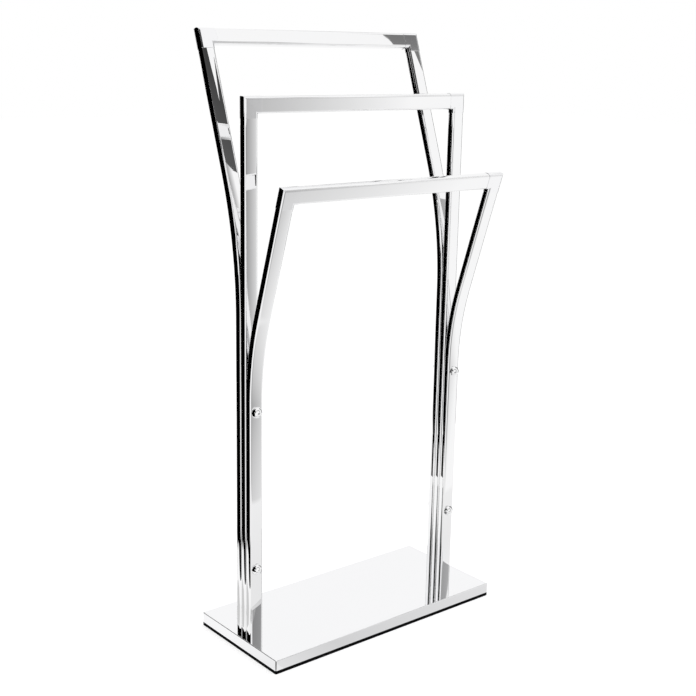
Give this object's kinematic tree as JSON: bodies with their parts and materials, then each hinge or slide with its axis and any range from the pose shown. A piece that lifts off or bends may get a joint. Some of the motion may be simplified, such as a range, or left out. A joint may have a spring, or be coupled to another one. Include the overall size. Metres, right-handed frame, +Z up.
{
  "type": "freestanding towel stand",
  "caption": "Freestanding towel stand: nested chrome tube frames on a weighted plate, the middle one straight, the others bent to lean forward and back, with a towel bar across each.",
  "frame": {"origin": "centre of the plate's underside, on the floor", "axes": "+X to the user's right along the bars, +Y towards the tallest frame at the back, +Z up"},
  "size_m": [0.44, 0.2204, 0.918],
  "materials": {
    "chrome_tube": "mirror-polished chrome plate on flat steel tube",
    "chrome_casting": "mirror chrome plate on a solid cast elbow",
    "chrome_sheet": "mirror chrome plate on folded sheet",
    "chrome_hardware": "mirror chrome plate on turned steel",
    "plated_steel": "bright zinc plate",
    "plain_steel": "mill-finished plate, out of sight",
    "board": "bare fibreboard, out of sight",
    "black_underlay": "matt black mat"
  },
  "bodies": {
    "root": {"base_cover": "chrome_sheet", "core_board": "board", "ballast_plate": "plain_steel", "base_underlay": "black_underlay", "front_top_bar": "chrome_tube", "front_leg_left": "chrome_tube", "front_leg_right": "chrome_tube", "front_elbow_left": "chrome_casting", "front_elbow_right": "chrome_casting", "middle_top_bar": "chrome_tube", "middle_leg_left": "chrome_tube", "middle_leg_right": "chrome_tube", "middle_elbow_left": "chrome_casting", "middle_elbow_right": "chrome_casting", "back_top_bar": "chrome_tube", "back_leg_left": "chrome_tube", "back_leg_right": "chrome_tube", "back_elbow_left": "chrome_casting", "back_elbow_right": "chrome_casting", "foot_plugs_left": "plated_steel", "foot_plugs_right": "plated_steel", "leg_screws_left": "plated_steel", "leg_screws_right": "plated_steel", "leg_washers_left": "plated_steel", "leg_washers_right": "plated_steel", "tie_bolts_lower": "chrome_hardware", "tie_bolts_upper": "chrome_hardware", "dome_nuts_lower": "chrome_hardware", "dome_nuts_upper": "chrome_hardware"}
  },
  "joints": []
}
